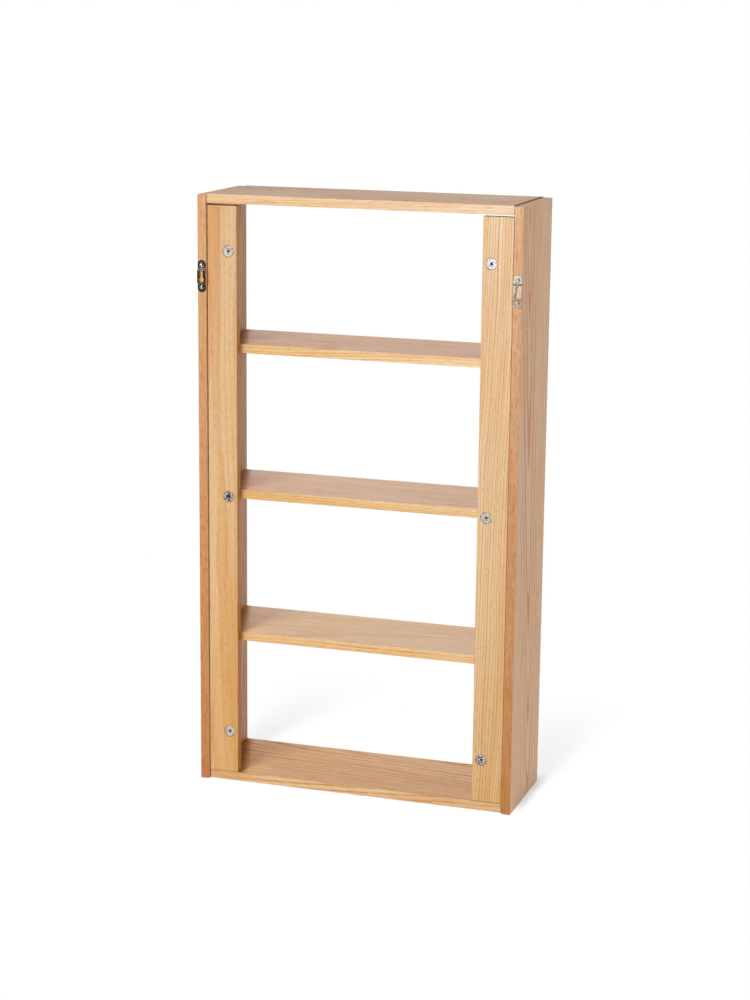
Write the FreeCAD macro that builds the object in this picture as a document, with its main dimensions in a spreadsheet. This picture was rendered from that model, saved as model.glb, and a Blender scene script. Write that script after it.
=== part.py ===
import FreeCAD, Part
import os

import Sketcher

# Wall shelf in oak: two sides, five boards, two back battens held by cam locks, two keyhole hangers.
# Millimetres. +Z is up, the open front faces -Y, the wall side faces +Y, left is -X.
# The origin is the middle of the footprint, at floor level.

DRIVING_SIZES = {
    # Carcass
    "width": 440.0,
    "depth": 145.0,
    "side_height": 800.0,
    "side_thickness": 12.0,
    "board_thickness": 12.0,
    "shelf_thickness": 12.0,
    "board_lift": 0.8,
    "back_recess": 3.0,
    "shelf_back_gap": 0.2,
    "side_edge_round": 0.8,
    "board_edge_round": 0.5,
    # Back battens
    "batten_width": 41.0,
    "batten_thickness": 12.0,
    "batten_side_gap": 0.8,
    "batten_top_gap": 2.5,
    "batten_edge_round": 0.8,
    # Dowels between the boards and the sides
    "dowel_diameter": 6.0,
    "dowel_length": 24.0,
    "dowel_side_depth": 8.0,
    "dowel_front_inset": 32.0,
    "dowel_pitch": 64.0,
    "dowel_clearance": 0.1,
    "dowel_end_gap": 0.5,
    "dowel_chamfer": 0.7,
    # Cam locks
    "cam_diameter": 15.0,
    "cam_height": 10.0,
    "cam_sink": 0.3,
    "cam_clearance": 0.3,
    "cam_floor_gap": 0.2,
    "cam_edge_distance": 29.0,
    "cam_bottom_inset": 58.0,
    "cam_top_inset": 59.5,
    "cam_rim_width": 1.3,
    "cam_face_sink": 0.3,
    "cam_rim_chamfer": 0.35,
    "cam_cross_length": 5.6,
    "cam_cross_width": 1.3,
    "cam_cross_depth": 0.6,
    "cam_centre_diameter": 2.8,
    "cam_centre_depth": 3.0,
    "cam_turn": 180.0,
    "cam_end_margin": 8.0,
    "channel_clearance": 0.4,
    # Cam bolts
    "bolt_thread_diameter": 6.0,
    "bolt_thread_depth": 8.0,
    "bolt_thread_clearance": 0.1,
    "bolt_end_gap": 0.5,
    "bolt_shank_diameter": 6.8,
    "bolt_hole_clearance": 0.4,
    "bolt_shank_setback": 0.8,
    "bolt_neck_diameter": 3.0,
    "bolt_head_diameter": 5.0,
    "bolt_head_length": 2.2,
    "bolt_head_inset": 2.2,
    "bolt_tip_chamfer": 0.8,
    # Keyhole hangers
    "hanger_width": 11.0,
    "hanger_length": 42.0,
    "hanger_thickness": 1.2,
    "hanger_lift": 2.0,
    "hanger_step_run": 1.4,
    "hanger_ramp_run": 2.0,
    "hanger_flat_top": 8.2,
    "hanger_flat_bottom": 9.0,
    "hanger_drop": 106.7,
    "hanger_bend_round": 0.5,
    "keyhole_entry_diameter": 7.6,
    "keyhole_entry_drop": 4.7,
    "keyhole_slot_width": 4.5,
    "keyhole_slot_top": 8.0,
    # Hanger nails
    "nail_spacing": 29.0,
    "nail_shank_diameter": 2.4,
    "nail_length": 16.0,
    "nail_tip_length": 3.0,
    "nail_clearance": 0.1,
    "nail_plate_clearance": 0.2,
    "nail_end_gap": 0.5,
    "nail_head_diameter": 6.4,
    "nail_head_height": 1.9,
    "nail_head_edge": 0.4,
}

# Turn of each cam from open, as the discs stand in the assembled shelf
CAM_LOCKED_TURNS = {
    ("left", "upper"): 130.0,
    ("left", "middle"): 152.0,
    ("left", "lower"): 144.0,
    ("right", "upper"): 168.0,
    ("right", "middle"): 160.0,
    ("right", "lower"): 154.0,
}
SIDES = {"left": -1, "right": 1}
SHELF_NAMES = ("lower", "middle", "upper")
CAM_NAMES = ("lower", "middle", "upper")

doc = FreeCAD.newDocument("wall_shelf")
sheet = doc.addObject("Spreadsheet::Sheet", "sizes")
for row, (alias, size) in enumerate(DRIVING_SIZES.items(), start=1):
    sheet.set(f"A{row}", alias)
    sheet.set(f"B{row}", str(size))
    sheet.setAlias(f"B{row}", alias)
doc.recompute()

# Places shared by several pieces, as expressions on the sheet
HANGER_RISE = "(sizes.hanger_lift + sizes.hanger_thickness)"
INNER_HALF = "(sizes.width / 2 - sizes.side_thickness)"
FRONT_Y = f"(-(sizes.depth + {HANGER_RISE}) / 2)"
BACK_Y = f"((sizes.depth - {HANGER_RISE}) / 2)"
BATTEN_BACK_Y = f"({BACK_Y} - sizes.back_recess)"
SHELF_BACK_Y = f"({BATTEN_BACK_Y} - sizes.batten_thickness - sizes.shelf_back_gap)"
BOTTOM_TOP_Z = "(sizes.board_lift + sizes.board_thickness)"
TOP_UNDER_Z = "(sizes.side_height + sizes.board_lift - sizes.board_thickness)"
OPENING = (
    f"(({TOP_UNDER_Z} - {BOTTOM_TOP_Z} - {len(SHELF_NAMES)} * sizes.shelf_thickness)"
    f" / {len(SHELF_NAMES) + 1})"
)
BATTEN_TOP_Z = f"({TOP_UNDER_Z} - sizes.batten_top_gap)"
DOWEL_YS = (
    f"({FRONT_Y} + sizes.dowel_front_inset)",
    f"({FRONT_Y} + sizes.dowel_front_inset + sizes.dowel_pitch)",
)
CAM_LOW_Z = f"({BOTTOM_TOP_Z} + sizes.cam_bottom_inset)"
CAM_HIGH_Z = f"({BATTEN_TOP_Z} - sizes.cam_top_inset)"
CAM_Z = {
    "lower": CAM_LOW_Z,
    "middle": f"(({CAM_LOW_Z} + {CAM_HIGH_Z}) / 2)",
    "upper": CAM_HIGH_Z,
}
CAM_REACH = "(sizes.batten_side_gap + sizes.cam_edge_distance)"
BOLT_DEPTH = "(sizes.batten_thickness / 2)"
HANGER_Z = "(sizes.side_height - sizes.hanger_drop)"
SIDE_MIDDLE = "(sizes.width / 2 - sizes.side_thickness / 2)"
ROUND_FACES_BACK = FreeCAD.Rotation(FreeCAD.Vector(1, 0, 0), -90)

nodes = {}


def value(expression):
    """The number that an expression on the sheet gives now."""
    return float(sheet.evalExpression(expression))


def new_body(label):
    body = doc.addObject("PartDesign::Body", label)
    body.Label = label
    return body


def place(item, x="0", y="0", z="0", rotation=FreeCAD.Rotation()):
    item.Placement = FreeCAD.Placement(FreeCAD.Vector(value(x), value(y), value(z)), rotation)
    for axis, expression in (("x", x), ("y", y), ("z", z)):
        item.setExpression(f"Placement.Base.{axis}", expression)


def sketch_on(body, plane, name, offset="0"):
    """A sketch on one of the body's own planes, moved along the plane's normal by offset."""
    sketch = body.newObject("Sketcher::SketchObject", name)
    support = next(item for item in body.Origin.OriginFeatures if item.Role == plane)
    sketch.AttachmentSupport = [(support, "")]
    sketch.MapMode = "FlatFace"
    sketch.setExpression("AttachmentOffset.Base.z", offset)
    return sketch


def bind(sketch, kind, references, expression):
    index = sketch.addConstraint(Sketcher.Constraint(kind, *references, value(expression)))
    sketch.setExpression(f"Constraints[{index}]", expression)


def pin(sketch, geometry, end, x, y):
    """Holds one point of a sketch at an x and a y, each an expression of either sign."""
    for kind, axis, expression in (("DistanceX", -2, x), ("DistanceY", -1, y)):
        number = value(expression)
        if abs(number) < 1e-9:
            sketch.addConstraint(Sketcher.Constraint("PointOnObject", geometry, end, axis))
        elif number > 0:
            bind(sketch, kind, (-1, 1, geometry, end), expression)
        else:
            bind(sketch, kind, (geometry, end, -1, 1), f"-({expression})")


def point(x, y):
    return FreeCAD.Vector(value(x), value(y), 0)


def polygon(sketch, corners):
    """A closed outline of straight lines, each corner held at its own expressions."""
    first = sketch.GeometryCount
    count = len(corners)
    for i, corner in enumerate(corners):
        sketch.addGeometry(Part.LineSegment(point(*corner), point(*corners[(i + 1) % count])))
    for i, corner in enumerate(corners):
        sketch.addConstraint(Sketcher.Constraint("Coincident", first + (i - 1) % count, 2, first + i, 1))
        pin(sketch, first + i, 1, *corner)


def rectangle(sketch, low_x, low_y, high_x, high_y):
    polygon(sketch, [(low_x, low_y), (high_x, low_y), (high_x, high_y), (low_x, high_y)])


def circle(sketch, x, y, diameter):
    index = sketch.addGeometry(Part.Circle(point(x, y), FreeCAD.Vector(0, 0, 1), value(diameter) / 2))
    pin(sketch, index, 3, x, y)
    bind(sketch, "Diameter", (index,), diameter)


def upright_slot(sketch, low_y, high_y, width):
    """A slot with round ends about the sketch's upright axis, from one end's centre to the other's."""
    radius = value(width) / 2
    quarter = FreeCAD.Units.Quantity("90 deg").getValueAs("rad").Value
    up = FreeCAD.Vector(0, 0, 1)
    first = sketch.GeometryCount
    low, high = point("0", low_y), point("0", high_y)
    across = FreeCAD.Vector(radius, 0, 0)
    sketch.addGeometry(Part.ArcOfCircle(Part.Circle(high, up, radius), 0, 2 * quarter))
    sketch.addGeometry(Part.LineSegment(high - across, low - across))
    sketch.addGeometry(Part.ArcOfCircle(Part.Circle(low, up, radius), 2 * quarter, 4 * quarter))
    sketch.addGeometry(Part.LineSegment(low + across, high + across))
    for i in range(4):
        sketch.addConstraint(Sketcher.Constraint("Tangent", first + i, 2, first + (i + 1) % 4, 1))
    pin(sketch, first, 3, "0", high_y)
    pin(sketch, first + 2, 3, "0", low_y)
    bind(sketch, "Radius", (first,), f"({width}) / 2")


def pad(body, sketch, length, along_normal=True):
    feature = body.newObject("PartDesign::Pad", "pad")
    feature.Profile = sketch
    feature.setExpression("Length", length)
    feature.Reversed = not along_normal
    doc.recompute()
    return feature


def must_cut(body, before):
    """A cut that misses its solid shows no error, so its volume is compared."""
    doc.recompute()
    if body.Shape.Volume > before - 1e-6:
        raise RuntimeError(f"a cut in {body.Label} removed nothing")


def cut(body, sketch, depth, along_normal, both_ways=False):
    before = body.Shape.Volume
    feature = body.newObject("PartDesign::Pocket", "cut")
    feature.Profile = sketch
    feature.setExpression("Length", depth)
    feature.Reversed = along_normal
    if both_ways:
        feature.SideType = "Symmetric"
    must_cut(body, before)
    return feature


def turn_cut(body, sketch, angle):
    """A groove round the body's own Z axis, half of its angle to each side of the sketch."""
    before = body.Shape.Volume
    feature = body.newObject("PartDesign::Groove", "channel")
    feature.Profile = sketch
    feature.ReferenceAxis = (sketch, ["V_Axis"])
    feature.Midplane = True
    feature.setExpression("Angle", angle)
    must_cut(body, before)


def revolve(body, sketch, axis):
    feature = body.newObject("PartDesign::Revolution", "turned")
    feature.Profile = sketch
    feature.ReferenceAxis = (sketch, [axis])
    doc.recompute()
    return feature


def mirror_left_right(body, feature):
    before = body.Shape.Volume
    mirrored = body.newObject("PartDesign::Mirrored", "mirrored")
    mirrored.Originals = [feature]
    plane = next(item for item in body.Origin.OriginFeatures if item.Role == "YZ_Plane")
    mirrored.MirrorPlane = (plane, [""])
    body.Tip = mirrored
    must_cut(body, before)


def edge_names(feature, wanted):
    """Names of the feature's edges that the test picks."""
    edges = feature.Shape.Edges
    return [f"Edge{i}" for i, edge in enumerate(edges, start=1) if wanted(edge)]


def runs_along(axis):
    def wanted(edge):
        if not isinstance(edge.Curve, Part.Line):
            return False
        return abs(abs(edge.Curve.Direction.dot(axis)) - 1) < 1e-6
    return wanted


def is_circle(edge):
    return isinstance(edge.Curve, Part.Circle)


def dress(body, kind, size_name, base, names, expression):
    feature = body.newObject(f"PartDesign::{kind}", kind.lower())
    feature.Base = (base, names)
    feature.setExpression(size_name, expression)
    doc.recompute()
    return feature


def round_edges(body, base, names, radius):
    return dress(body, "Fillet", "Radius", base, names, radius)


def chamfer_edges(body, base, names, size):
    return dress(body, "Chamfer", "Size", base, names, size)


def shelf_under_z(index):
    """Underside of a shelf, counted from 0 at the lowest, with equal openings between the boards."""
    return f"({BOTTOM_TOP_Z} + {index + 1} * {OPENING} + {index} * sizes.shelf_thickness)"


def board_middles():
    """Heights of the dowels of every board."""
    shelves = [f"({shelf_under_z(i)} + sizes.shelf_thickness / 2)" for i in range(len(SHELF_NAMES))]
    bottom = "(sizes.board_lift + sizes.board_thickness / 2)"
    top = f"({TOP_UNDER_Z} + sizes.board_thickness / 2)"
    return [bottom, *shelves, top]


def make_side_panel(name, sign):
    """Side panel, with its inner face on the body's YZ plane and its holes drilled from there."""
    body = new_body(f"side_panel_{name}")
    outline = sketch_on(body, "YZ_Plane", "outline")
    rectangle(outline, FRONT_Y, "0", BACK_Y, "sizes.side_height")
    blank = pad(body, outline, "sizes.side_thickness", along_normal=sign > 0)
    round_edges(body, blank, edge_names(blank, lambda edge: True), "sizes.side_edge_round")

    dowels = sketch_on(body, "YZ_Plane", "dowel_holes")
    for height in board_middles():
        for y in DOWEL_YS:
            circle(dowels, y, height, "sizes.dowel_diameter + 2 * sizes.dowel_clearance")
    cut(body, dowels, "sizes.dowel_side_depth + sizes.dowel_end_gap", along_normal=sign > 0)

    bolts = sketch_on(body, "YZ_Plane", "bolt_holes")
    for height in CAM_Z.values():
        circle(bolts, f"{BATTEN_BACK_Y} - {BOLT_DEPTH}", height,
               "sizes.bolt_thread_diameter + 2 * sizes.bolt_thread_clearance")
    cut(body, bolts, "sizes.bolt_thread_depth + sizes.bolt_end_gap", along_normal=sign > 0)

    pilots = sketch_on(body, "XZ_Plane", "pilot_holes", offset=f"-{BACK_Y}")
    for end in (-1, 1):
        circle(pilots, f"{sign} * sizes.side_thickness / 2", f"{HANGER_Z} + {end} * sizes.nail_spacing / 2",
               "sizes.nail_shank_diameter + 2 * sizes.nail_clearance")
    cut(body, pilots, "sizes.nail_length - sizes.hanger_thickness + sizes.nail_end_gap", along_normal=True)
    place(body, x=f"{sign} * {INNER_HALF}")
    nodes[body.Label] = body


def make_board(label, thickness, back_y, under_z):
    """Board between the sides, with two dowel holes in each end."""
    body = new_body(label)
    outline = sketch_on(body, "XY_Plane", "outline")
    rectangle(outline, f"-{INNER_HALF}", FRONT_Y, INNER_HALF, back_y)
    blank = pad(body, outline, thickness)
    long_edges = edge_names(blank, runs_along(FreeCAD.Vector(1, 0, 0)))
    round_edges(body, blank, long_edges, "sizes.board_edge_round")

    holes = sketch_on(body, "YZ_Plane", "dowel_holes", offset=INNER_HALF)
    for y in DOWEL_YS:
        circle(holes, y, f"{thickness} / 2", "sizes.dowel_diameter + 2 * sizes.dowel_clearance")
    depth = "sizes.dowel_length - sizes.dowel_side_depth + sizes.dowel_end_gap"
    right_end = cut(body, holes, depth, along_normal=False)
    mirror_left_right(body, right_end)
    place(body, z=under_z)
    nodes[body.Label] = body


def make_dowel(label, start_x, y, z):
    body = new_body(label)
    section = sketch_on(body, "YZ_Plane", "section")
    circle(section, "0", "0", "sizes.dowel_diameter")
    rod = pad(body, section, "sizes.dowel_length")
    chamfer_edges(body, rod, edge_names(rod, is_circle), "sizes.dowel_chamfer")
    place(body, x=start_x, y=y, z=z)
    return body


def group(label, members):
    """Like pieces that share one node, each a solid of its own."""
    compound = doc.addObject("Part::Compound", label)
    compound.Label = label
    compound.Links = members
    nodes[label] = compound


def make_board_dowels(board_label, middle_z):
    starts = {
        "left": f"-{INNER_HALF} - sizes.dowel_side_depth",
        "right": f"{INNER_HALF} + sizes.dowel_side_depth - sizes.dowel_length",
    }
    members = []
    for name, start_x in starts.items():
        for row, y in enumerate(DOWEL_YS, start=1):
            members.append(make_dowel(f"{board_label}_dowel_{name}_{row}", start_x, y, middle_z))
    group(f"{board_label}_dowels", members)


def make_batten(name, sign):
    """Back batten, with its wall-side face on the body's XZ plane, blind holes for the cams and bolt holes."""
    body = new_body(f"back_batten_{name}")
    outer_x = f"{INNER_HALF} - sizes.batten_side_gap"
    edges_x = [f"{sign} * ({outer_x} - sizes.batten_width)", f"{sign} * ({outer_x})"]
    low_x, high_x = sorted(edges_x, key=value)
    outline = sketch_on(body, "XZ_Plane", "outline")
    rectangle(outline, low_x, BOTTOM_TOP_Z, high_x, BATTEN_TOP_Z)
    blank = pad(body, outline, "sizes.batten_thickness")
    round_edges(body, blank, edge_names(blank, lambda edge: True), "sizes.batten_edge_round")

    cam_holes = sketch_on(body, "XZ_Plane", "cam_holes")
    for height in CAM_Z.values():
        circle(cam_holes, f"{sign} * ({outer_x} - sizes.cam_edge_distance)", height,
               "sizes.cam_diameter + 2 * sizes.cam_clearance")
    cut(body, cam_holes, "sizes.cam_sink + sizes.cam_height + sizes.cam_floor_gap", along_normal=True)

    bolt_holes = sketch_on(body, "YZ_Plane", "bolt_holes", offset=f"{sign} * ({outer_x})")
    for height in CAM_Z.values():
        circle(bolt_holes, f"-{BOLT_DEPTH}", height,
               "sizes.bolt_shank_diameter + 2 * sizes.bolt_hole_clearance")
    cut(body, bolt_holes, "sizes.cam_edge_distance", along_normal=sign < 0)
    place(body, y=BATTEN_BACK_Y)
    nodes[body.Label] = body


def make_cam_lock(name, sign, level):
    """Cam disc whose face is the body's XY plane. The bolt's head runs in a channel round the disc's core."""
    body = new_body(f"cam_lock_{name}_{level}")
    section = sketch_on(body, "XY_Plane", "section")
    circle(section, "0", "0", "sizes.cam_diameter")
    disc = pad(body, section, "sizes.cam_height", along_normal=False)
    chamfer_edges(body, disc, edge_names(disc, is_circle), "sizes.cam_rim_chamfer")

    face = sketch_on(body, "XY_Plane", "sunk_face")
    circle(face, "0", "0", "sizes.cam_diameter - 2 * sizes.cam_rim_width")
    cut(body, face, "sizes.cam_face_sink", along_normal=False)
    length, width = "sizes.cam_cross_length", "sizes.cam_cross_width"
    for along, across in ((length, width), (width, length)):
        slot = sketch_on(body, "XY_Plane", "driver_slot")
        rectangle(slot, f"-{along} / 2", f"-{across} / 2", f"{along} / 2", f"{across} / 2")
        cut(body, slot, "sizes.cam_face_sink + sizes.cam_cross_depth", along_normal=False)
    centre = sketch_on(body, "XY_Plane", "centre_hole")
    circle(centre, "0", "0", "sizes.cam_centre_diameter")
    cut(body, centre, "sizes.cam_centre_depth", along_normal=False)

    bolt_z = f"(sizes.cam_sink - {BOLT_DEPTH})"
    head_end = "(sizes.bolt_head_inset + sizes.bolt_head_length)"
    head_radius = "(sizes.bolt_head_diameter / 2)"
    core = "(sizes.bolt_head_inset - sizes.channel_clearance)"
    wall = f"(sqrt({head_end} ^ 2 + {head_radius} ^ 2) + sizes.channel_clearance)"
    head_room = f"({head_radius} + sizes.channel_clearance)"
    neck_room = "(sizes.bolt_neck_diameter / 2 + sizes.channel_clearance)"
    rim = "(sizes.cam_diameter / 2 + sizes.cam_clearance)"
    end_angle = "2 * sizes.cam_end_margin * 1 deg"

    channel = sketch_on(body, "XZ_Plane", "head_channel")
    rectangle(channel, core, f"{bolt_z} - {head_room}", wall, f"{bolt_z} + {head_room}")
    head_angle = f"2 * atan({head_radius} / sizes.bolt_head_inset)"
    turn_cut(body, channel, f"sizes.cam_turn * 1 deg + {end_angle} + {head_angle}")
    slot = sketch_on(body, "XZ_Plane", "neck_slot")
    rectangle(slot, core, f"{bolt_z} - {neck_room}", rim, f"{bolt_z} + {neck_room}")
    turn_cut(body, slot, f"sizes.cam_turn * 1 deg + {end_angle} + 2 * asin({neck_room} / {wall})")
    window = sketch_on(body, "XZ_Plane", "entry_window", offset=core)
    rectangle(window, f"-{head_room}", f"{bolt_z} - {head_room}", head_room, f"{bolt_z} + {head_room}")
    cut(body, window, rim, along_normal=True)

    bolt_bearing = 0 if sign > 0 else 180
    open_bearing = -DRIVING_SIZES["cam_turn"] / 2
    spin = bolt_bearing - open_bearing - CAM_LOCKED_TURNS[name, level]
    rotation = ROUND_FACES_BACK.multiply(FreeCAD.Rotation(FreeCAD.Vector(0, 0, 1), spin))
    place(body, x=f"{sign} * ({INNER_HALF} - {CAM_REACH})", y=f"{BATTEN_BACK_Y} - sizes.cam_sink",
          z=CAM_Z[level], rotation=rotation)
    nodes[body.Label] = body


def make_cam_bolt(label, sign, height):
    """Bolt turned about X, from its threaded tip in the side panel to its head in the cam."""
    body = new_body(label)
    thread = "sizes.bolt_thread_diameter / 2"
    shank = "sizes.bolt_shank_diameter / 2"
    neck = "sizes.bolt_neck_diameter / 2"
    head = "sizes.bolt_head_diameter / 2"
    tip_x = "-sizes.bolt_thread_depth"
    chamfer_x = "-sizes.bolt_thread_depth + sizes.bolt_tip_chamfer"
    shank_x = f"{CAM_REACH} - sizes.cam_diameter / 2 - sizes.cam_clearance - sizes.bolt_shank_setback"
    end_x = f"{CAM_REACH} - sizes.bolt_head_inset"
    head_x = f"{CAM_REACH} - sizes.bolt_head_inset - sizes.bolt_head_length"
    profile = sketch_on(body, "XZ_Plane", "profile")
    polygon(profile, [
        (tip_x, "0"), (end_x, "0"), (end_x, head), (head_x, head), (head_x, neck), (shank_x, neck),
        (shank_x, shank), ("0", shank), ("0", thread), (chamfer_x, thread),
        (tip_x, f"{thread} - sizes.bolt_tip_chamfer"),
    ])
    revolve(body, profile, "H_Axis")
    inward = FreeCAD.Rotation(FreeCAD.Vector(0, 0, 1), 0 if sign < 0 else 180)
    place(body, x=f"{sign} * {INNER_HALF}", y=f"{BATTEN_BACK_Y} - {BOLT_DEPTH}", z=height, rotation=inward)
    return body


def make_keyhole_hanger(name, sign):
    """Pressed hanger plate: lifted keyhole middle, a step above it and a ramp below, back on the XZ plane."""
    body = new_body(f"keyhole_hanger_{name}")
    end_z = "(sizes.hanger_length / 2 - sizes.hanger_width / 2)"
    outline = sketch_on(body, "XZ_Plane", "outline")
    upright_slot(outline, f"-{end_z}", end_z, "sizes.hanger_width")
    pad(body, outline, HANGER_RISE, along_normal=False)

    runs = {-1: "sizes.hanger_ramp_run", 1: "sizes.hanger_step_run"}
    outer_flats = {-1: "sizes.hanger_flat_bottom", 1: "sizes.hanger_flat_top"}
    inner_flats = {}
    for end, run in runs.items():
        slope = f"sqrt(sizes.hanger_lift ^ 2 + {run} ^ 2)"
        bend_set = f"(sizes.hanger_thickness * ({slope} - {run}) / sizes.hanger_lift)"
        inner_flats[end] = f"({outer_flats[end]} - {bend_set})"
    behind = sketch_on(body, "YZ_Plane", "room_behind")
    polygon(behind, [
        ("0", f"-({inner_flats[-1]} + {runs[-1]})"), ("sizes.hanger_lift", f"-{inner_flats[-1]}"),
        ("sizes.hanger_lift", inner_flats[1]), ("0", f"{inner_flats[1]} + {runs[1]}"),
    ])
    cut(body, behind, "sizes.hanger_width", along_normal=True, both_ways=True)
    for end, flat in outer_flats.items():
        step = sketch_on(body, "YZ_Plane", "step_to_end")
        polygon(step, [
            ("sizes.hanger_thickness", f"{end} * ({flat} + {runs[end]})"),
            (HANGER_RISE, f"{end} * {flat}"), (HANGER_RISE, f"{end} * sizes.hanger_length"),
            ("sizes.hanger_thickness", f"{end} * sizes.hanger_length"),
        ])
        cut(body, step, "sizes.hanger_width", along_normal=True, both_ways=True)

    bend_edges = edge_names(body.Tip, runs_along(FreeCAD.Vector(1, 0, 0)))
    round_edges(body, body.Tip, bend_edges, "sizes.hanger_bend_round")

    holes = sketch_on(body, "XZ_Plane", "nail_holes")
    for end in (-1, 1):
        circle(holes, "0", f"{end} * sizes.nail_spacing / 2",
               "sizes.nail_shank_diameter + 2 * sizes.nail_plate_clearance")
    circle(holes, "0", "-sizes.keyhole_entry_drop", "sizes.keyhole_entry_diameter")
    cut(body, holes, HANGER_RISE, along_normal=False)
    slot = sketch_on(body, "XZ_Plane", "keyhole_slot")
    upright_slot(slot, "-sizes.keyhole_entry_drop", "sizes.keyhole_slot_top - sizes.keyhole_slot_width / 2",
                 "sizes.keyhole_slot_width")
    cut(body, slot, HANGER_RISE, along_normal=False)
    place(body, x=f"{sign} * {SIDE_MIDDLE}", y=BACK_Y, z=HANGER_Z)
    nodes[body.Label] = body


def make_hanger_nail(label, sign, end):
    """Dome-head nail turned about Z, with the underside of its head on the body's XY plane."""
    body = new_body(label)
    shank = "sizes.nail_shank_diameter / 2"
    head = "sizes.nail_head_diameter / 2"
    tip_z = "-sizes.nail_length"
    taper_z = "-sizes.nail_length + sizes.nail_tip_length"
    crown, edge = "sizes.nail_head_height", "sizes.nail_head_edge"
    profile = sketch_on(body, "XZ_Plane", "profile")
    corners = [("0", crown), ("0", tip_z), (shank, taper_z), (shank, "0"), (head, "0"), (head, edge)]
    for start, stop in zip(corners, corners[1:]):
        profile.addGeometry(Part.LineSegment(point(*start), point(*stop)))
    dome_rise = value(crown) - value(edge)
    dome_radius = (value(head) ** 2 + dome_rise ** 2) / (2 * dome_rise)
    dome_centre = FreeCAD.Vector(0, value(crown) - dome_radius, 0)
    dome_start = FreeCAD.Vector(value(head), value(edge), 0) - dome_centre
    arc = Part.Circle(dome_centre, FreeCAD.Vector(0, 0, 1), dome_radius)
    quarter = FreeCAD.Units.Quantity("90 deg").getValueAs("rad").Value
    start_angle = quarter - dome_start.getAngle(FreeCAD.Vector(0, 1, 0))
    dome = profile.addGeometry(Part.ArcOfCircle(arc, start_angle, quarter))
    for i, corner in enumerate(corners[1:]):
        pin(profile, i, 2, *corner)
        if i + 1 < dome:
            profile.addConstraint(Sketcher.Constraint("Coincident", i, 2, i + 1, 1))
    profile.addConstraint(Sketcher.Constraint("Coincident", dome - 1, 2, dome, 1))
    profile.addConstraint(Sketcher.Constraint("Coincident", dome, 2, 0, 1))
    pin(profile, 0, 1, *corners[0])
    profile.addConstraint(Sketcher.Constraint("PointOnObject", dome, 3, -2))
    revolve(body, profile, "V_Axis")
    place(body, x=f"{sign} * {SIDE_MIDDLE}", y=f"{BACK_Y} + sizes.hanger_thickness",
          z=f"{HANGER_Z} + {end} * sizes.nail_spacing / 2", rotation=ROUND_FACES_BACK)
    return body


def check_document():
    """Stops before anything is written if a feature failed or a piece has no good solid."""
    doc.recompute()
    for item in doc.Objects:
        if "Invalid" in item.State or "Error" in item.State:
            raise RuntimeError(f"{item.Label} failed: {item.State}")
    for label, item in nodes.items():
        if item.Shape.isNull() or not item.Shape.isValid() or not item.Shape.Solids:
            raise RuntimeError(f"{label} has no valid solid")


for side, side_sign in SIDES.items():
    make_side_panel(side, side_sign)
    make_batten(side, side_sign)
    for cam in CAM_NAMES:
        make_cam_lock(side, side_sign, cam)
    group(f"cam_bolts_{side}", [
        make_cam_bolt(f"cam_bolt_{side}_{cam}", side_sign, CAM_Z[cam]) for cam in CAM_NAMES
    ])
    make_keyhole_hanger(side, side_sign)
    group(f"hanger_nails_{side}", [
        make_hanger_nail(f"hanger_nail_{side}_{place_name}", side_sign, end)
        for place_name, end in (("lower", -1), ("upper", 1))
    ])

make_board("bottom_board", "sizes.board_thickness", BATTEN_BACK_Y, "sizes.board_lift")
make_board("top_board", "sizes.board_thickness", BATTEN_BACK_Y, TOP_UNDER_Z)
for number, shelf in enumerate(SHELF_NAMES):
    make_board(f"shelf_{shelf}", "sizes.shelf_thickness", SHELF_BACK_Y, shelf_under_z(number))
board_labels = ["bottom_board", *(f"shelf_{shelf}" for shelf in SHELF_NAMES), "top_board"]
for board, middle in zip(board_labels, board_middles()):
    make_board_dowels(board, middle)

check_document()
os.makedirs("parts", exist_ok=True)
for node, piece in nodes.items():
    piece.Shape.exportStep(f"parts/{node}.step")
print(f"{len(nodes)} nodes written")
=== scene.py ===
import math

import bpy
from mathutils import Matrix, Vector


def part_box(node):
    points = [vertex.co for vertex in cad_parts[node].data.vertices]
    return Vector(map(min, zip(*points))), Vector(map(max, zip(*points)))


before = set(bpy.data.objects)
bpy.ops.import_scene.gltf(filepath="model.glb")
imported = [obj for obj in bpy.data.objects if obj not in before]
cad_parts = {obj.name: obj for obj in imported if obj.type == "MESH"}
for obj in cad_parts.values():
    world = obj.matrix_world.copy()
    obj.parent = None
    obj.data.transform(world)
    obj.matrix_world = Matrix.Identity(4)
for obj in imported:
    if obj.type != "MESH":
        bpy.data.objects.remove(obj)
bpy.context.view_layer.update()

MM = 1000.0
WHITE = (1.0, 1.0, 1.0, 1.0)


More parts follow.
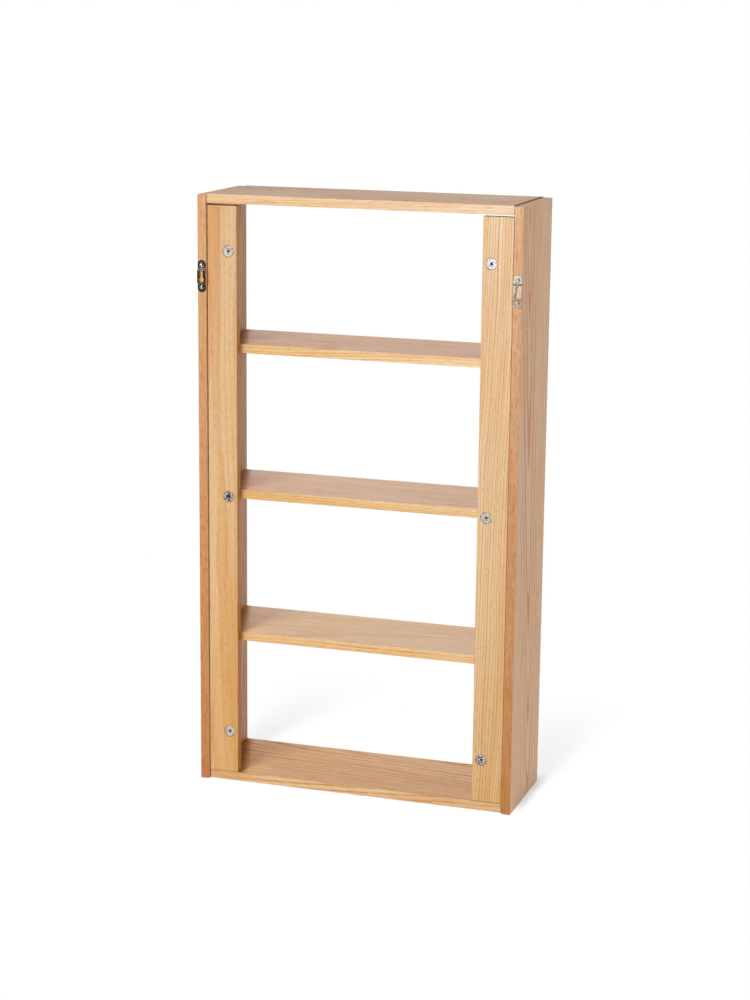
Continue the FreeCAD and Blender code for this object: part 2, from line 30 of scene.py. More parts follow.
class Value:
    """A number that changes over a surface. Arithmetic on it adds Math nodes to its finish."""

    def __init__(self, finish, socket):
        self.finish = finish
        self.socket = socket

    def __add__(self, other):
        return self.finish.math("ADD", self, other)

    def __sub__(self, other):
        return self.finish.math("SUBTRACT", self, other)

    def __mul__(self, other):
        return self.finish.math("MULTIPLY", self, other)

    def __truediv__(self, other):
        return self.finish.math("DIVIDE", self, other)

    def __pow__(self, other):
        return self.finish.math("POWER", self, other)

    def __radd__(self, other):
        return self.finish.math("ADD", other, self)

    def __rsub__(self, other):
        return self.finish.math("SUBTRACT", other, self)

    def __rmul__(self, other):
        return self.finish.math("MULTIPLY", other, self)

    def __abs__(self):
        return self.finish.math("ABSOLUTE", self)

    def root(self):
        return self.finish.math("SQRT", self)

    def fraction(self):
        return self.finish.math("FRACT", self)

    def least(self, other):
        return self.finish.math("MINIMUM", self, other)

    def most(self, other):
        return self.finish.math("MAXIMUM", self, other)

    def centred(self):
        """A noise or soft step from 0 to 1, moved so that it swings about 0."""
        return self - 0.5

    def ease(self, low, high):
        """0 below low, 1 above high, and a soft step between them."""
        return Value(self.finish, self.finish.node(
            "ShaderNodeMapRange", {"interpolation_type": "SMOOTHSTEP"},
            {"Value": self, "From Min": low, "From Max": high}).outputs["Result"])


class Finish:
    """A tree of shader nodes, for a material or for the world."""

    def __init__(self, owner):
        owner.use_nodes = True
        self.owner = owner
        self.tree = owner.node_tree
        self.tree.nodes.clear()

    def node(self, kind, settings=None, inputs=None):
        """Adds a node, sets it up, then fills or links its sockets by name, identifier or number."""
        node = self.tree.nodes.new(kind)
        for setting, choice in (settings or {}).items():
            setattr(node, setting, choice)
        for key, given in (inputs or {}).items():
            if isinstance(key, int):
                socket = node.inputs[key]
            else:
                socket = next(s for s in node.inputs if key in (s.identifier, s.name))
            if isinstance(given, Value):
                given = given.socket
            if isinstance(given, bpy.types.NodeSocket):
                self.tree.links.new(given, socket)
            else:
                socket.default_value = given
        return node

    def math(self, operation, *values):
        node = self.node("ShaderNodeMath", {"operation": operation}, dict(enumerate(values)))
        return Value(self, node.outputs[0])

    def parts(self, vector):
        node = self.node("ShaderNodeSeparateXYZ", inputs={0: vector})
        return [Value(self, socket) for socket in node.outputs]

    def noise(self, x, y, z, detail=2.0, roughness=0.5):
        """Soft noise about 0.5 at a point whose parts are already in the noise's own scale."""
        point = self.node("ShaderNodeCombineXYZ", inputs={0: x, 1: y, 2: z}).outputs[0]
        node = self.node("ShaderNodeTexNoise", {"noise_dimensions": "3D"},
                         {"Vector": point, "Scale": 1.0, "Detail": detail, "Roughness": roughness})
        return Value(self, node.outputs["Fac"])

    def mix(self, share, first, second, blend="MIX"):
        """First colour at share 0, second colour, or its blend with the first, at share 1."""
        node = self.node("ShaderNodeMix", {"data_type": "RGBA", "blend_type": blend, "clamp_factor": True},
                         {"Factor_Float": share, "A_Color": first, "B_Color": second})
        return next(socket for socket in node.outputs if socket.identifier == "Result_Color")

    def scale(self, colour, factor):
        node = self.node("ShaderNodeVectorMath", {"operation": "SCALE"},
                         {"Vector": colour, "Scale": factor})
        return node.outputs[0]

    def bump(self, height, strength, distance):
        node = self.node("ShaderNodeBump",
                         inputs={"Strength": strength, "Distance": distance, "Height": height})
        return node.outputs[0]

    def surface(self, **sockets):
        """Ends the material in a Principled surface, with underscores for the spaces in socket names."""
        inputs = {name.replace("_", " "): given for name, given in sockets.items()}
        shader = self.node("ShaderNodeBsdfPrincipled", inputs=inputs)
        self.node("ShaderNodeOutputMaterial", inputs={"Surface": shader.outputs[0]})
        return self.owner


def colour(red, green, blue):
    """A colour given as on a screen, 0 to 255, as the linear colour that nodes take."""
    def linear(part):
        part /= 255.0
        return part / 12.92 if part <= 0.04045 else ((part + 0.055) / 1.055) ** 2.4
    return (linear(red), linear(green), linear(blue), 1.0)


def shade(tint, factor):
    """A fixed colour made darker or paler."""
    return (*(min(1.0, part * factor) for part in tint[:3]), 1.0)


def richer(tone, step):
    """An oak tone, as on a screen, made more golden: blue falls most and red least."""
    return (tone[0] - 0.22 * step, tone[1] - 0.64 * step, tone[2] - step)


# Oak: growth rings round a heart line, each starting with a row of open pores. Lengths are in mm

PLAIN = (1.0, 1.0, 1.0)
SEED_SPREAD = 31.7
SOFT_STEP = (0.3, 0.7)

# How squarely a surface has to face a way to count as an end of the grain, or as a face or side
END_TURN, FACE_TURN = (0.55, 0.9), (0.6, 0.9)

# How much richer than a board's tone its golden wood, pore rows, painted seam shade and single pores are
GOLDEN_STEP, ROW_STEP, SEAM_SHADE_STEP, PORE_STEP = 46, 92, 96, 104

# How far rings drift, in mm, and how far they ripple and differ, in rings
RING_DRIFT, RING_RIPPLE, RING_SPREAD = 18, 0.25, 2.4

# Marks on single boards: where each fades in or out, and how strongly it shows. Among them, the lifted
# head, the dark top behind the battens, the seam line and the pale strip and patch are painted light and
# shade
OILED_HEAD_EDGE = (40.0, 85.0)
HEAD_LIGHT_EDGE, HEAD_LIGHT_GAIN = (35.0, 95.0), 0.25
BATTEN_SHADE_SHIFT, BATTEN_SHADE_SLANT, BATTEN_SHADE_EDGE = 6, 0.33, (-7.0, 9.0)
BATTEN_SHADE_TINT = (0.34, 0.24, 0.13, 1.0)
JOINT_EDGE, JOINT_SHARE, JOINT_LINE = (0.4, 1.0), 0.92, colour(114, 68, 26)
MARK_DULLNESS = 0.45
SEAM_SHADE_EDGE, SEAM_SHADE_SHARE, SEAM_SHADE_DARKNESS = (0.2, 1.6), 0.75, 0.42
LIT_STRIP_WIDTH, LIT_STRIP_EDGE, LIT_STRIP_GAIN = 4.0, (-0.6, 0.4), 1.3
PLATE_LIGHT_EDGE, PLATE_LIGHT_GAIN = (9.0, 15.0), 0.4


class Board:
    """Where a point of a board lies, in mm about the board's middle, and which way its surface faces.

    Butt is 1 on the two ends of the grain, and broad is 1 on the two broad faces.
    """

    def __init__(self, finish, node, grain, wide, seed):
        low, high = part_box(node)
        axes = {"X": 0, "Y": 1, "Z": 2}
        order = [axes[grain], axes[wide]]
        order.append(sum(axes.values()) - sum(order))
        coordinates = finish.node("ShaderNodeTexCoord")
        place = finish.parts(coordinates.outputs["Object"])
        normal = finish.parts(coordinates.outputs["Normal"])
        self.finish = finish
        self.shift = seed * SEED_SPREAD
        self.along, self.across, self.through = [
            (place[axis] - (low[axis] + high[axis]) / 2) * MM for axis in order]
        self.half_length, self.half_width, self.half_thickness = [
            (high[axis] - low[axis]) * MM / 2 for axis in order]
        end_facing, self.side_facing, self.face_facing = [normal[axis] for axis in order]
        self.butt = abs(end_facing).ease(*END_TURN)
        self.broad = abs(self.face_facing).ease(*FACE_TURN)

    def streaks(self, width, length, shift=None, detail=2.0, roughness=0.5):
        """Noise drawn out along the grain, with marks about as wide and as long as given."""
        shift = self.shift if shift is None else shift
        return self.finish.noise(self.across / width, self.through / width, self.along / length + shift,
                                 detail, roughness)

    def bands(self, radius, width, length):
        """Noise in bands round the tree's heart, about as wide and as long as given."""
        return self.finish.noise(radius / width, self.shift, self.along / length, 1.0)

    def worn_edges(self):
        """1 in rubbed spots along the board's edges. The second smallest room is the way to an edge."""
        side_room = self.half_width - abs(self.across)
        face_room = self.half_thickness - abs(self.through)
        end_room = self.half_length - abs(self.along)
        edge_room = side_room.least(face_room).most(side_room.most(face_room).least(end_room))
        rubbed = self.streaks(width=6, length=9, shift=0.0).ease(0.35, 0.6)
        return (1 - edge_room.ease(0.2, 1.5)) * rubbed


def marked(board, body, tone, dull, plate_light_place=None, seam=None, painted_light_strip=0.0, oiled_head=None, batten_shade_reach=0.0,
           joints=()):
    """A board's colour and roughness with the marks that only some boards have.

    Oiled_head tints the narrow sides next to the head of the grain. Batten_shade_reach is how far from the
    ends the top is dark and dull behind the battens, as painted shade added to the real shade that lies
    there, and the faces near the head then get painted light. Joints are the ends, 1 for the head and -1 for
    the foot, with a brown line against a neighbour, and the line's width on the faces and on the sides. Seam
    is the side, 1 or -1 across, with a dark line of painted shade along a seam. Painted_light_strip is how
    pale the painted light makes the strip behind a batten. Plate_light_place is the place along the grain of
    a hanger plate, behind which the back edge is painted paler, as painted light.
    """
    finish = board.finish
    pale = colour(*tone)
    from_head = board.half_length - board.along
    from_side = board.half_width - board.across
    if oiled_head:
        soaked = (1 - from_head.ease(*OILED_HEAD_EDGE)) * (1 - board.broad) * (1 - board.butt)
        body = finish.mix(soaked, body, (*oiled_head, 1.0), "MULTIPLY")
    if batten_shade_reach:
        # Painted light: the broad faces near the head are made paler.
        painted_light_near_head = (1 - from_head.ease(*HEAD_LIGHT_EDGE)) * board.broad
        body = finish.scale(body, painted_light_near_head * HEAD_LIGHT_GAIN + 1)
        # Painted shade: the top behind the battens is darker and duller, slanting like the battens' shadow.
        past_batten = abs(board.along + BATTEN_SHADE_SHIFT) - (board.half_length - batten_shade_reach)
        past_batten = past_batten - from_side * BATTEN_SHADE_SLANT
        painted_batten_shade = past_batten.ease(*BATTEN_SHADE_EDGE) * board.face_facing.ease(*FACE_TURN)
        body = finish.mix(painted_batten_shade, body, BATTEN_SHADE_TINT, "MULTIPLY")
        dull = painted_batten_shade * MARK_DULLNESS + dull
    for joint, on_face, on_side in joints:
        width = board.broad * (on_face - on_side) + on_side
        from_joint = (board.half_length - board.along * joint) / width
        line = (1 - from_joint.ease(*JOINT_EDGE)) * (1 - board.butt)
        body = finish.mix(line * JOINT_SHARE, body, JOINT_LINE)
        dull = line * MARK_DULLNESS + dull
    if seam:
        # Painted shade: a dark line along the seam beside a batten.
        seam_shade = 1 - (board.half_width - board.across * seam).ease(*SEAM_SHADE_EDGE)
        seam_shade_colour = shade(colour(*richer(tone, SEAM_SHADE_STEP)), SEAM_SHADE_DARKNESS)
        body = finish.mix(seam_shade * SEAM_SHADE_SHARE, body, seam_shade_colour)
    if painted_light_strip:
        # Painted light: the strip behind a batten is made paler.
        lit_strip = 1 - (from_side - LIT_STRIP_WIDTH).ease(*LIT_STRIP_EDGE)
        body = finish.mix(lit_strip * board.broad * painted_light_strip, body, shade(pale, LIT_STRIP_GAIN))
    if plate_light_place:
        # Painted light: the back edge behind a hanger plate is made paler.
        from_plate = abs(board.along - plate_light_place)
        painted_light_behind_plate = (1 - from_plate.ease(*PLATE_LIGHT_EDGE)) * board.side_facing.ease(*FACE_TURN)
        body = finish.scale(body, painted_light_behind_plate * PLATE_LIGHT_GAIN + 1)
    return body, dull


def oak(node, grain, wide, tone, seed, heart, ring, rise=0.0, lean=0.0, rows=1.0, row_width=0.5,
        row_depth=1.0, dash=18.0, years=1.0, fibres=1.0, flecks=0.6, fleck_size=(1.1, 13.0),
        face_flecks=1.0, face_rows=1.0, side_rows=1.0, figure=None, faces=(PLAIN, PLAIN),
        sides=(PLAIN, PLAIN), fade=1.0, end=(150, 105, 66), polish=0.46, **marks):
    """Oak for one board.

    The tree's heart runs at heart, across and through the board. Its rings climb by rise and lean across by
    lean for each mm along the grain. Rows, years, fibres and flecks set how strongly the pore rows, the wide
    yearly bands, the fibres and the single pores show. Row_width is the share of a year that its row fills,
    row_depth darkens the rows, dash is how long their pieces are, and fleck_size is a pore's width and
    length. Face_flecks, face_rows and side_rows are how much of them is left on the broad faces and on the
    narrow sides, and figure is how far from the heart the rows are seen. Faces and sides hold the tint of
    those faces and sides at the head and at the foot of the grain, and fade bends the change between them;
    the tints are partly the wood's own tone and partly painted light and shade, lighter or darker along the
    board and on each facing by how the light falls. End is the colour of the end grain, and polish is the
    roughness. Marks go to marked.
    """
    finish = Finish(bpy.data.materials.new(f"oak_{node}"))
    board = Board(finish, node, grain, wide, seed)
    along, broad, butt = board.along, board.broad, board.butt

    # Distance from the heart, with the slow drift, small ripples and thick and thin years of real growth
    drift = board.streaks(width=75, length=420).centred()
    ripple = board.streaks(width=9, length=70).centred()
    from_heart = board.across - heart[0] + along * lean
    radius = (from_heart * from_heart + (board.through - heart[1]) ** 2).root()
    radius = radius + along * rise + drift * RING_DRIFT + ripple * (RING_RIPPLE * ring)
    radius = radius + board.bands(radius, width=3.5 * ring, length=600).centred() * (RING_SPREAD * ring)

    # Each year starts with a sharp row of pores that thins out, broken into dashes and stronger in some years
    year = (radius / ring).fraction()
    strong = board.bands(radius, width=1.7 * ring, length=150).ease(0.28, 0.66)
    dashes = board.streaks(width=1.2, length=dash).ease(0.4, 0.6)
    row = (1 - year.ease(0.0, row_width)) * (dashes * 0.6 + 0.4) * (strong * 0.75 + 0.25) * rows
    row = row * (broad * (face_rows - side_rows) + side_rows)
    if figure:
        row = row * (1.1 - abs(from_heart).ease(0.2 * figure, figure))
    pores = board.streaks(width=fleck_size[0], length=fleck_size[1]).ease(0.5, 0.68)
    pores = pores * (row * 0.4 + 0.6) * (1 - broad * (1 - face_flecks))

    # Wide soft bands of richer years, fibres drawn out along the grain, and large pale clouds
    band = board.bands(radius, width=2.6 * ring, length=500).ease(*SOFT_STEP).centred()
    fibre = board.streaks(width=1.3, length=45, roughness=0.6).ease(*SOFT_STEP).centred()
    cloud = board.streaks(width=110, length=260, shift=-board.shift, detail=1.0).centred()

    # Faces, sides and ends have tints of their own, those of faces and sides partly painted light and shade,
    # and worn edges are paler
    pale = colour(*tone)
    golden = fibre * (0.4 * fibres) + band * (0.5 * years) + cloud * 0.3 + 0.3
    body = finish.mix(golden, pale, colour(*richer(tone, GOLDEN_STEP)))
    body = finish.mix(row * 0.8, body, shade(colour(*richer(tone, ROW_STEP)), row_depth))
    body = finish.mix(pores * flecks, body, shade(colour(*richer(tone, PORE_STEP)), 0.94))
    foot = (along * (-0.5 / board.half_length) + 0.5) ** fade
    # Partly painted light and shade: the face and side tints change along the board and by facing.
    face_tint = finish.mix(foot, (*faces[0], 1.0), (*faces[1], 1.0))
    side_tint = finish.mix(foot, (*sides[0], 1.0), (*sides[1], 1.0))
    body = finish.mix(1.0, body, finish.mix(broad, side_tint, face_tint), "MULTIPLY")
    body = finish.mix(butt * (0.75 - row * 0.2), body, colour(*end))
    body = finish.mix(board.worn_edges() * 0.22, body, shade(pale, 1.08))
    body, dull = marked(board, body, tone, polish, **marks)
    return finish.surface(
        Base_Color=body,
        Roughness=pores * 0.18 + butt * 0.2 + fibre * 0.06 + dull,
        Normal=finish.bump(fibre * 0.2 - row * 0.3 - pores * 0.5, strength=0.06, distance=0.0002),
    )


def middle_height(node):
    """Height of the middle of a node, in mm."""
    low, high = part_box(node)
    return (low[2] + high[2]) / 2 * MM


SIDE_TONE, BATTEN_TONE, SHELF_TONE = (230, 184, 142), (238, 206, 170), (246, 212, 164)
SIDE_END = (206, 168, 136)
FINE_FLECKS = (0.8, 9.0)
HANGER_MIDDLE = middle_height("keyhole_hanger_left") - middle_height("side_panel_left")
SHELF_BATTEN_SHADE = 40.5

# The face and side tints below are partly the wood's own tone and partly painted light and shade.
OAK_BOARDS = {
    "side_panel_left": dict(
        grain="Z", wide="Y", tone=SIDE_TONE, seed=1.3, heart=(12.0, -12.0), ring=13.0, rise=-0.08, lean=-0.08,
        rows=4.0, row_width=0.42, row_depth=0.97, years=0.7, fibres=2.2, flecks=1.2, fleck_size=FINE_FLECKS,
        face_flecks=0.25, side_rows=0.06, figure=52.0, faces=((1.03, 1.06, 1.04), (1.13, 1.22, 1.24)),
        sides=((0.98, 1.18, 1.5), (0.71, 0.52, 0.24)), fade=0.5, end=SIDE_END, plate_light_place=HANGER_MIDDLE),
    "side_panel_right": dict(
        grain="Z", wide="Y", tone=SIDE_TONE, seed=4.1, heart=(-12.0, -26.0), ring=6.0, rise=-0.05, lean=0.03,
        rows=2.4, row_depth=0.64, years=0.6, fibres=2.2, flecks=1.2, fleck_size=FINE_FLECKS, face_flecks=0.5,
        side_rows=0.06, figure=100.0, faces=((0.78, 0.73, 0.66), (0.78, 0.70, 0.56)),
        sides=((0.83, 0.84, 0.78), (0.72, 0.53, 0.29)), end=SIDE_END, plate_light_place=HANGER_MIDDLE,
        painted_light_strip=0.7),
    "back_batten_left": dict(
        grain="Z", wide="X", tone=BATTEN_TONE, seed=7.7, heart=(-70.0, -40.0), ring=3.1, rise=0.02, lean=0.01,
        rows=3.6, row_width=0.3, dash=5.0, years=1.5, flecks=0.5, fleck_size=(0.8, 5.0),
        faces=((0.97, 1.09, 1.21), (0.86, 0.81, 0.57)), sides=((0.97, 1.09, 1.21), (0.86, 0.81, 0.57)),
        seam=-1, joints=((-1, 1.1, 1.1),)),
    "back_batten_right": dict(
        grain="Z", wide="X", tone=(234, 194, 150), seed=2.9, heart=(60.0, -80.0), ring=5.5, rise=0.012,
        lean=-0.008, rows=0.7, years=3.4, flecks=0.6, fleck_size=(0.9, 6.0),
        faces=((0.82, 0.85, 0.85), (0.93, 0.94, 0.77)), sides=((0.72, 0.56, 0.24), (0.66, 0.50, 0.14)),
        joints=((-1, 0.8, 0.8),)),
    "top_board": dict(
        grain="X", wide="Y", tone=SHELF_TONE, seed=5.6, heart=(40.0, -200.0), ring=3.5, rise=0.03, rows=1.4,
        faces=((0.66, 0.62, 0.74), (0.75, 0.73, 0.95)), sides=((0.82, 0.82, 0.80), (0.98, 1.15, 1.60)),
        end=(110, 66, 24), polish=0.5, joints=((-1, 5.0, 2.2),)),
    "shelf_upper": dict(
        grain="X", wide="Y", tone=SHELF_TONE, seed=8.2, heart=(44.0, -210.0), ring=3.5, rise=0.014, rows=2.0,
        face_rows=0.6, faces=((0.81, 0.69, 0.60), (0.74, 0.65, 0.61)),
        sides=((0.84, 0.81, 0.66), (0.99, 1.09, 1.25)), polish=0.34, batten_shade_reach=SHELF_BATTEN_SHADE),
    "shelf_middle": dict(
        grain="X", wide="Y", tone=SHELF_TONE, seed=3.4, heart=(36.0, -220.0), ring=3.5, rise=-0.012, rows=1.9,
        face_rows=0.5, faces=((0.94, 0.94, 1.04), (0.79, 0.75, 0.83)),
        sides=((0.84, 0.80, 0.60), (0.95, 1.02, 1.10)), polish=0.34, batten_shade_reach=SHELF_BATTEN_SHADE),
    "shelf_lower": dict(
        grain="X", wide="Y", tone=SHELF_TONE, seed=6.8, heart=(40.0, -200.0), ring=3.5, rise=0.012, rows=1.7,
        face_rows=0.5, faces=((0.98, 1.05, 1.14), (0.86, 0.90, 1.00)),
        sides=((0.89, 0.90, 0.85), (0.92, 0.93, 0.89)), polish=0.34, batten_shade_reach=SHELF_BATTEN_SHADE),
    "bottom_board": dict(
        grain="X", wide="Y", tone=(242, 204, 154), seed=9.5, heart=(-100.0, -150.0), ring=5.0, rise=0.03,
        rows=1.8, row_depth=0.8, faces=((0.95, 0.88, 0.66), (0.84, 0.83, 0.86)),
        sides=((0.92, 0.98, 1.02), (0.92, 0.96, 1.08)), polish=0.4, oiled_head=(0.89, 0.76, 0.62),
        batten_shade_reach=46.0, joints=((1, 2.0, 2.0), (-1, 2.6, 2.6))),
}


# Metal fittings and dowels, with their marks in mm

SPECKLE_SIZE, PATCH_SIZE = 0.6, 2.3
# Painted shade in a cam's centre hole: from which depths, and out to which reaches
RECESS_SHADE_DEPTH, RECESS_SHADE_EDGE = (0.25, 0.7), (1.7, 2.5)
RIM_EDGE = (5.7, 6.4)
# The painted shade's colour in the centre hole
RECESS_SHADE_COLOUR = colour(14, 12, 10)
LINE_WIDTH, LINE_LENGTH, SMEAR_SIZE = 0.35, 9, 3.2
BEECH_PALE, BEECH_DARK, BEECH_FLECK = colour(226, 190, 146), colour(204, 160, 112), colour(150, 104, 66)

# Painted shade under a hanger plate's upper bend, from and to these shares of its height
BEND_SHADE_START, BEND_SHADE_END = (0.675, 0.7), (0.75, 0.768)


def cast_zinc(node, bright, dull, share, roughness, seed):
    """Zinc for one cam disc: mottled bright and dull, with a plainer rim and painted shade darkening the
    centre hole.
    """
    finish = Finish(bpy.data.materials.new(f"zinc_{node}"))
    low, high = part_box(node)
    place = finish.parts(finish.node("ShaderNodeTexCoord").outputs["Object"])
    aside = (place[0] - (low[0] + high[0]) / 2) * MM
    depth = (high[1] - place[1]) * MM
    upright = (place[2] - (low[2] + high[2]) / 2) * MM
    reach = (aside * aside + upright * upright).root()

    def mottling(size, detail, coarseness):
        return finish.noise(aside / size + seed, upright / size, depth / size, detail, coarseness)

    speckle = mottling(SPECKLE_SIZE, 2.0, 0.6)
    patch = mottling(PATCH_SIZE, 1.0, 0.5)
    # Painted shade: the centre hole is darkened, dull and not metal.
    recess_shade = depth.ease(*RECESS_SHADE_DEPTH) * (1 - reach.ease(*RECESS_SHADE_EDGE))
    rim = reach.ease(*RIM_EDGE)
    mottle = patch.ease(0.38, 0.6).centred() * 0.95 + speckle.ease(*SOFT_STEP).centred() * 0.25 + share
    body = finish.mix(mottle, bright, dull)
    body = finish.mix(rim * 0.4, body, shade(bright, 0.9))
    body = finish.mix(recess_shade, body, RECESS_SHADE_COLOUR)
    return finish.surface(
        Base_Color=body,
        Metallic=1 - recess_shade,
        Roughness=speckle.centred() * 0.3 + recess_shade * 0.4 + roughness,
        Normal=finish.bump(speckle * 0.2 + patch * 0.8, strength=0.22, distance=0.0005),
    )


def plated_steel(node, tint, low_tint, roughness, seed, bend_shade=0.0):
    """Bright plated steel, lined and smeared, with a painted reflection dimmer at its low end and painted
    shade under a bend.
    """
    finish = Finish(bpy.data.materials.new(f"plate_{node}"))
    low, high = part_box(node)
    place = finish.parts(finish.node("ShaderNodeTexCoord").outputs["Object"])
    height = (place[2] - low[2]) / (high[2] - low[2])
    aside, depth, upright = [part * MM for part in place]
    lines = finish.noise(aside / LINE_WIDTH + seed, depth / LINE_WIDTH, upright / LINE_LENGTH)
    smear = finish.noise(aside / SMEAR_SIZE + seed, depth / SMEAR_SIZE, upright / SMEAR_SIZE, 3.0, 0.6)
    # Painted reflection: the plate is darker towards its low end.
    body = finish.mix(height.ease(0.2, 0.8), low_tint, tint)
    body = finish.mix(smear.centred() * 1.2 + 0.3, body, shade(low_tint, 0.7))
    if bend_shade:
        # Painted shade under the upper bend.
        painted_bend_shade = height.ease(*BEND_SHADE_START) * (1 - height.ease(*BEND_SHADE_END))
        body = finish.mix(painted_bend_shade * bend_shade, body, shade(low_tint, 0.2))
    return finish.surface(
        Base_Color=body,
        Metallic=1.0,
        Roughness=smear.centred() * 0.22 + lines.centred() * 0.08 + roughness,
        Normal=finish.bump(lines * 0.5 + smear * 0.5, strength=0.12, distance=0.0001),
    )


def plain_beech(node, seed):
    """Raw beech for the hidden dowels, with short dark flecks along the grain."""
    finish = Finish(bpy.data.materials.new(f"beech_{node}"))
    place = finish.parts(finish.node("ShaderNodeTexCoord").outputs["Object"])
    along, across, upright = [part * MM for part in place]
    fibre = finish.noise(along / 14 + seed, across / 0.7, upright / 0.7, 3.0)
    fleck = finish.noise(along / 2.2 + seed, across / 0.4, upright / 0.4, 1.0).ease(0.62, 0.72)
    body = finish.mix(fibre.centred() * 1.4 + 0.5, BEECH_PALE, BEECH_DARK)
    body = finish.mix(fleck * 0.6, body, BEECH_FLECK)
    return finish.surface(
        Base_Color=body,
        Roughness=fleck * 0.1 + 0.55,
        Normal=finish.bump(fibre, strength=0.2, distance=0.0002),
    )


# Painted reflections: the discs are the same zinc, and their bright and dull tones and share differ from disc
# to disc as the light catches each.
ZINC_DISCS = {
    "cam_lock_left_upper": dict(
        bright=colour(242, 239, 238), dull=colour(182, 174, 170), share=0.30, roughness=0.42, seed=1.0),
    "cam_lock_left_middle": dict(
        bright=colour(232, 222, 210), dull=colour(158, 146, 134), share=0.36, roughness=0.42, seed=5.0),
    "cam_lock_left_lower": dict(
        bright=colour(216, 204, 198), dull=colour(96, 84, 80), share=0.48, roughness=0.36, seed=9.0),
    "cam_lock_right_upper": dict(
        bright=colour(234, 229, 224), dull=colour(152, 144, 136), share=0.36, roughness=0.40, seed=13.0),
    "cam_lock_right_middle": dict(
        bright=colour(236, 226, 208), dull=colour(48, 43, 37), share=0.53, roughness=0.32, seed=17.0),
    "cam_lock_right_lower": dict(
        bright=colour(230, 215, 202), dull=colour(160, 145, 134), share=0.33, roughness=0.42, seed=21.0),
}
BOLT_TINTS = dict(tint=colour(206, 204, 200), low_tint=colour(190, 188, 184), roughness=0.30)
# Painted reflections: the two plates, and the two nail sets, are the same plating, and their tints differ as
# each mirrors a brighter or darker part of the room.
STEEL_PIECES = {
    "keyhole_hanger_left": dict(
        tint=colour(250, 244, 238), low_tint=colour(200, 188, 176), roughness=0.26, seed=2.0, bend_shade=0.8),
    "keyhole_hanger_right": dict(
        tint=colour(164, 152, 142), low_tint=colour(134, 121, 111), roughness=0.14, seed=6.0, bend_shade=0.2),
    "hanger_nails_left": dict(
        tint=colour(228, 212, 198), low_tint=colour(216, 198, 180), roughness=0.5, seed=3.0),
    "hanger_nails_right": dict(
        tint=colour(206, 194, 182), low_tint=colour(174, 160, 146), roughness=0.24, seed=7.0),
    "cam_bolts_left": dict(**BOLT_TINTS, seed=4.0),
    "cam_bolts_right": dict(**BOLT_TINTS, seed=8.0),
}
DOWEL_GROUPS = ("top_board_dowels", "shelf_upper_dowels", "shelf_middle_dowels", "shelf_lower_dowels",
                "bottom_board_dowels")
DOWEL_SEED_STEP = 11.0


def finish_node(node, material):
    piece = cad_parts[node]
    piece.data.materials.clear()
    piece.data.materials.append(material)


def finish_all_nodes():
    for node, board in OAK_BOARDS.items():
        finish_node(node, oak(node, **board))
    for node, disc in ZINC_DISCS.items():
        finish_node(node, cast_zinc(node, **disc))
    for node, steel in STEEL_PIECES.items():
        finish_node(node, plated_steel(node, **steel))
    for number, node in enumerate(DOWEL_GROUPS):
        finish_node(node, plain_beech(node, number * DOWEL_SEED_STEP))


# Studio: white backdrop and floor, a dim room behind the camera, soft lamps, and the camera. In metres

FLOOR_LEVEL = -0.0002
FLOOR_TINT = (0.87, 0.9, 0.93)
ROOM_TINT = colour(255, 250, 244)

# Painted shadow streaks, laid over the floor's real shadow, that run out in front of the sides: where they
# start, close in, widen and fade
STREAK_START, STREAK_OFFSET, STREAK_CLOSING = -0.05, 0.003, 0.07
STREAK_WIDTH, STREAK_WIDENING, STREAK_EDGE = 0.016, 0.15, (0.2, 1.4)
STREAK_RISE, STREAK_FALL = (-0.03, 0.05), (0.0, 0.45)

# Painted contact shadow right beside the sides: how far from their middle, and from where to where along them
CONTACT_EDGE, CONTACT_BACK, CONTACT_FRONT = (0.006, 0.022), (0.01, 0.065), (-0.11, -0.045)


def ray_kinds(finish):
    """1 for what the camera sees, and 1 for what a reflection or glass sees."""
    path = finish.node("ShaderNodeLightPath")
    camera, glossy, glass = [Value(finish, path.outputs[name]) for name in
                             ("Is Camera Ray", "Is Glossy Ray", "Is Transmission Ray")]
    return camera, glossy.most(glass)


def light_surroundings(room, backdrop, mirrored_room):
    """White all round for the camera. Most light comes from the backdrop, and the room is dim in mirrors."""
    world = bpy.data.worlds.new("white_studio")
    bpy.context.scene.world = world
    finish = Finish(world)
    _, north, up = finish.parts(finish.node("ShaderNodeTexCoord").outputs["Generated"])
    behind_shelf = 1 - north.ease(-0.25, 0.3)
    below_top = 1 - up.ease(0.25, 0.85)
    camera, mirrored = ray_kinds(finish)

    def glow(tint, strength):
        return finish.node("ShaderNodeBackground", inputs={"Color": tint, "Strength": strength}).outputs[0]

    def blend(share, first, second):
        return finish.node("ShaderNodeMixShader", inputs={0: share, 1: first, 2: second}).outputs[0]

    light = blend(behind_shelf * below_top, glow(ROOM_TINT, room), glow(WHITE, backdrop))
    seen = blend(camera.most(behind_shelf), glow(WHITE, mirrored_room), glow(WHITE, 1.0))
    finish.node("ShaderNodeOutputWorld", inputs={"Surface": blend(camera.most(mirrored), light, seen)})


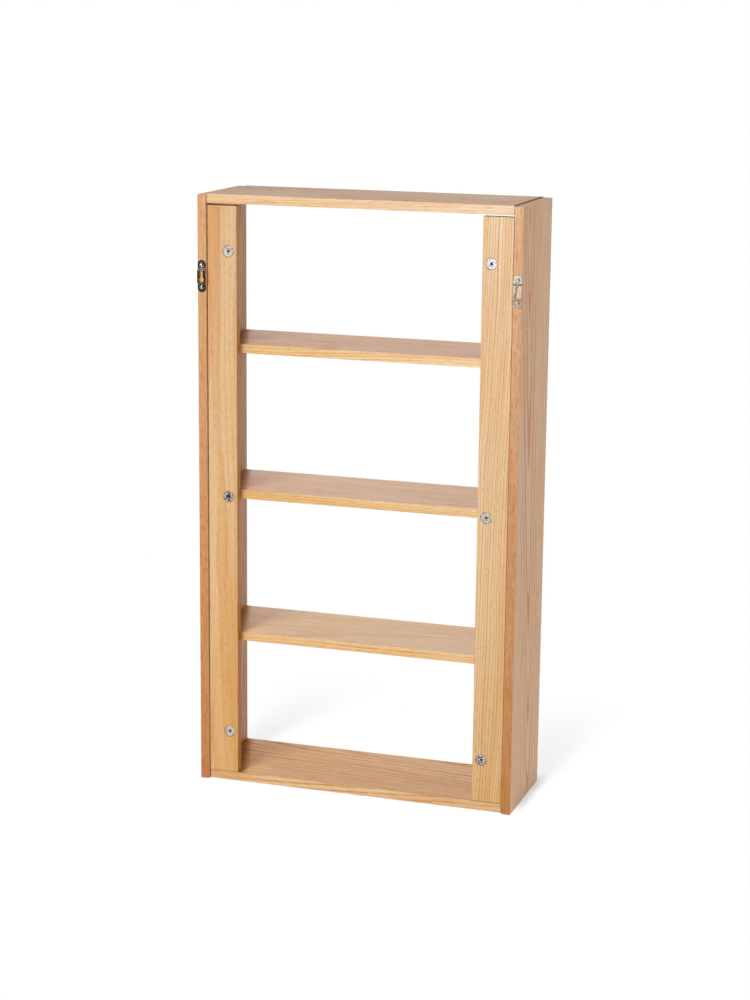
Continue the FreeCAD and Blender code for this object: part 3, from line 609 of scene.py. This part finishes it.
def lay_floor(half, shade_share, dimmed, contact):
    """White floor with soft shadows close to the shelf, which runs out to plain white.

    Shade_share is how much of the floor's own lit colour, with its real shadow, is seen in the streaks,
    dimmed is how much its white falls there as painted shadow, and contact is how much it falls right beside
    the sides as painted contact shadow.
    """
    mesh = bpy.data.meshes.new("studio_floor")
    corners = [(-half, -half), (half, -half), (half, half), (-half, half)]
    mesh.from_pydata([(*corner, FLOOR_LEVEL) for corner in corners], [], [(0, 1, 2, 3)])
    floor = bpy.data.objects.new("studio_floor", mesh)
    bpy.context.scene.collection.objects.link(floor)

    side_low, side_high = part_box("side_panel_right")
    side_middle = (side_low[0] + side_high[0]) / 2
    finish = Finish(bpy.data.materials.new("white_floor"))
    east, north, _ = finish.parts(finish.node("ShaderNodeTexCoord").outputs["Object"])
    # Painted shadow: the white glow is dimmed in two streaks out from the sides and right beside them.
    out = STREAK_START - north
    aside = abs(abs(east) - (side_middle + STREAK_OFFSET) + out * STREAK_CLOSING)
    in_streak = 1 - (aside / (out * STREAK_WIDENING + STREAK_WIDTH)).ease(*STREAK_EDGE)
    shaded = out.ease(*STREAK_RISE) * (1 - out.ease(*STREAK_FALL)) * in_streak
    near_side = 1 - abs(abs(east) - side_middle).ease(*CONTACT_EDGE)
    close = near_side * (1 - north.ease(*CONTACT_BACK)) * north.ease(*CONTACT_FRONT)
    camera, mirrored = ray_kinds(finish)
    seen = camera.most(mirrored)
    mesh.materials.append(finish.surface(
        Base_Color=finish.scale(FLOOR_TINT, 1 - seen * (1 - shaded * shade_share)),
        Roughness=1.0,
        Specular_IOR_Level=0.0,
        Emission_Color=finish.scale(WHITE[:3], seen * (1 - shaded * dimmed - close * contact)),
        Emission_Strength=1.0,
    ))


def hang_lamp(name, place, target, size, power, tint=(1.0, 1.0, 1.0)):
    lamp = bpy.data.lights.new(name, "AREA")
    lamp.shape = "RECTANGLE"
    lamp.size, lamp.size_y = size
    lamp.energy = power
    lamp.color = tint
    holder = bpy.data.objects.new(name, lamp)
    bpy.context.scene.collection.objects.link(holder)
    aim = Vector(target) - Vector(place)
    holder.matrix_world = Matrix.Translation(place) @ aim.to_track_quat("-Z", "Y").to_matrix().to_4x4()


def stand_camera(place, heading, dip, tilt, lens):
    """Camera that looks at the shelf's back. Heading is from straight on, dip is below level, in degrees."""
    heading, dip, tilt = math.radians(heading), math.radians(dip), math.radians(tilt)
    ahead = Vector((math.sin(heading) * math.cos(dip), -math.cos(heading) * math.cos(dip), -math.sin(dip)))
    right = Vector((-math.cos(heading), -math.sin(heading), 0))
    up = right.cross(ahead)
    leaning_right = right * math.cos(tilt) + up * math.sin(tilt)
    leaning_up = up * math.cos(tilt) - right * math.sin(tilt)
    camera = bpy.data.objects.new("camera", bpy.data.cameras.new("camera"))
    camera.data.sensor_fit = "VERTICAL"
    camera.data.sensor_height = 36.0
    camera.data.lens = lens
    camera.data.clip_end = 200.0
    turned = Matrix((leaning_right, leaning_up, -ahead)).transposed().to_4x4()
    camera.matrix_world = Matrix.Translation(place) @ turned
    bpy.context.scene.collection.objects.link(camera)
    bpy.context.scene.camera = camera


finish_all_nodes()
light_surroundings(room=0.32, backdrop=1.0, mirrored_room=0.1)
lay_floor(half=2.2, shade_share=0.25, dimmed=0.27, contact=0.36)
hang_lamp("key", place=(0.95, 2.75, 1.9), target=(0, 0, 0.5), size=(1.3, 1.3), power=70.0,
          tint=(1.0, 0.98, 0.95))
hang_lamp("low_front", place=(0.5, 3.2, 0.45), target=(-0.1, 0, 0.5), size=(0.5, 0.8), power=2.1)
stand_camera(place=(-0.94072, 2.85064, 1.06177), heading=18.1737, dip=12.5344, tilt=0.58, lens=82.575)
bpy.context.scene.view_settings.view_transform = "Standard"
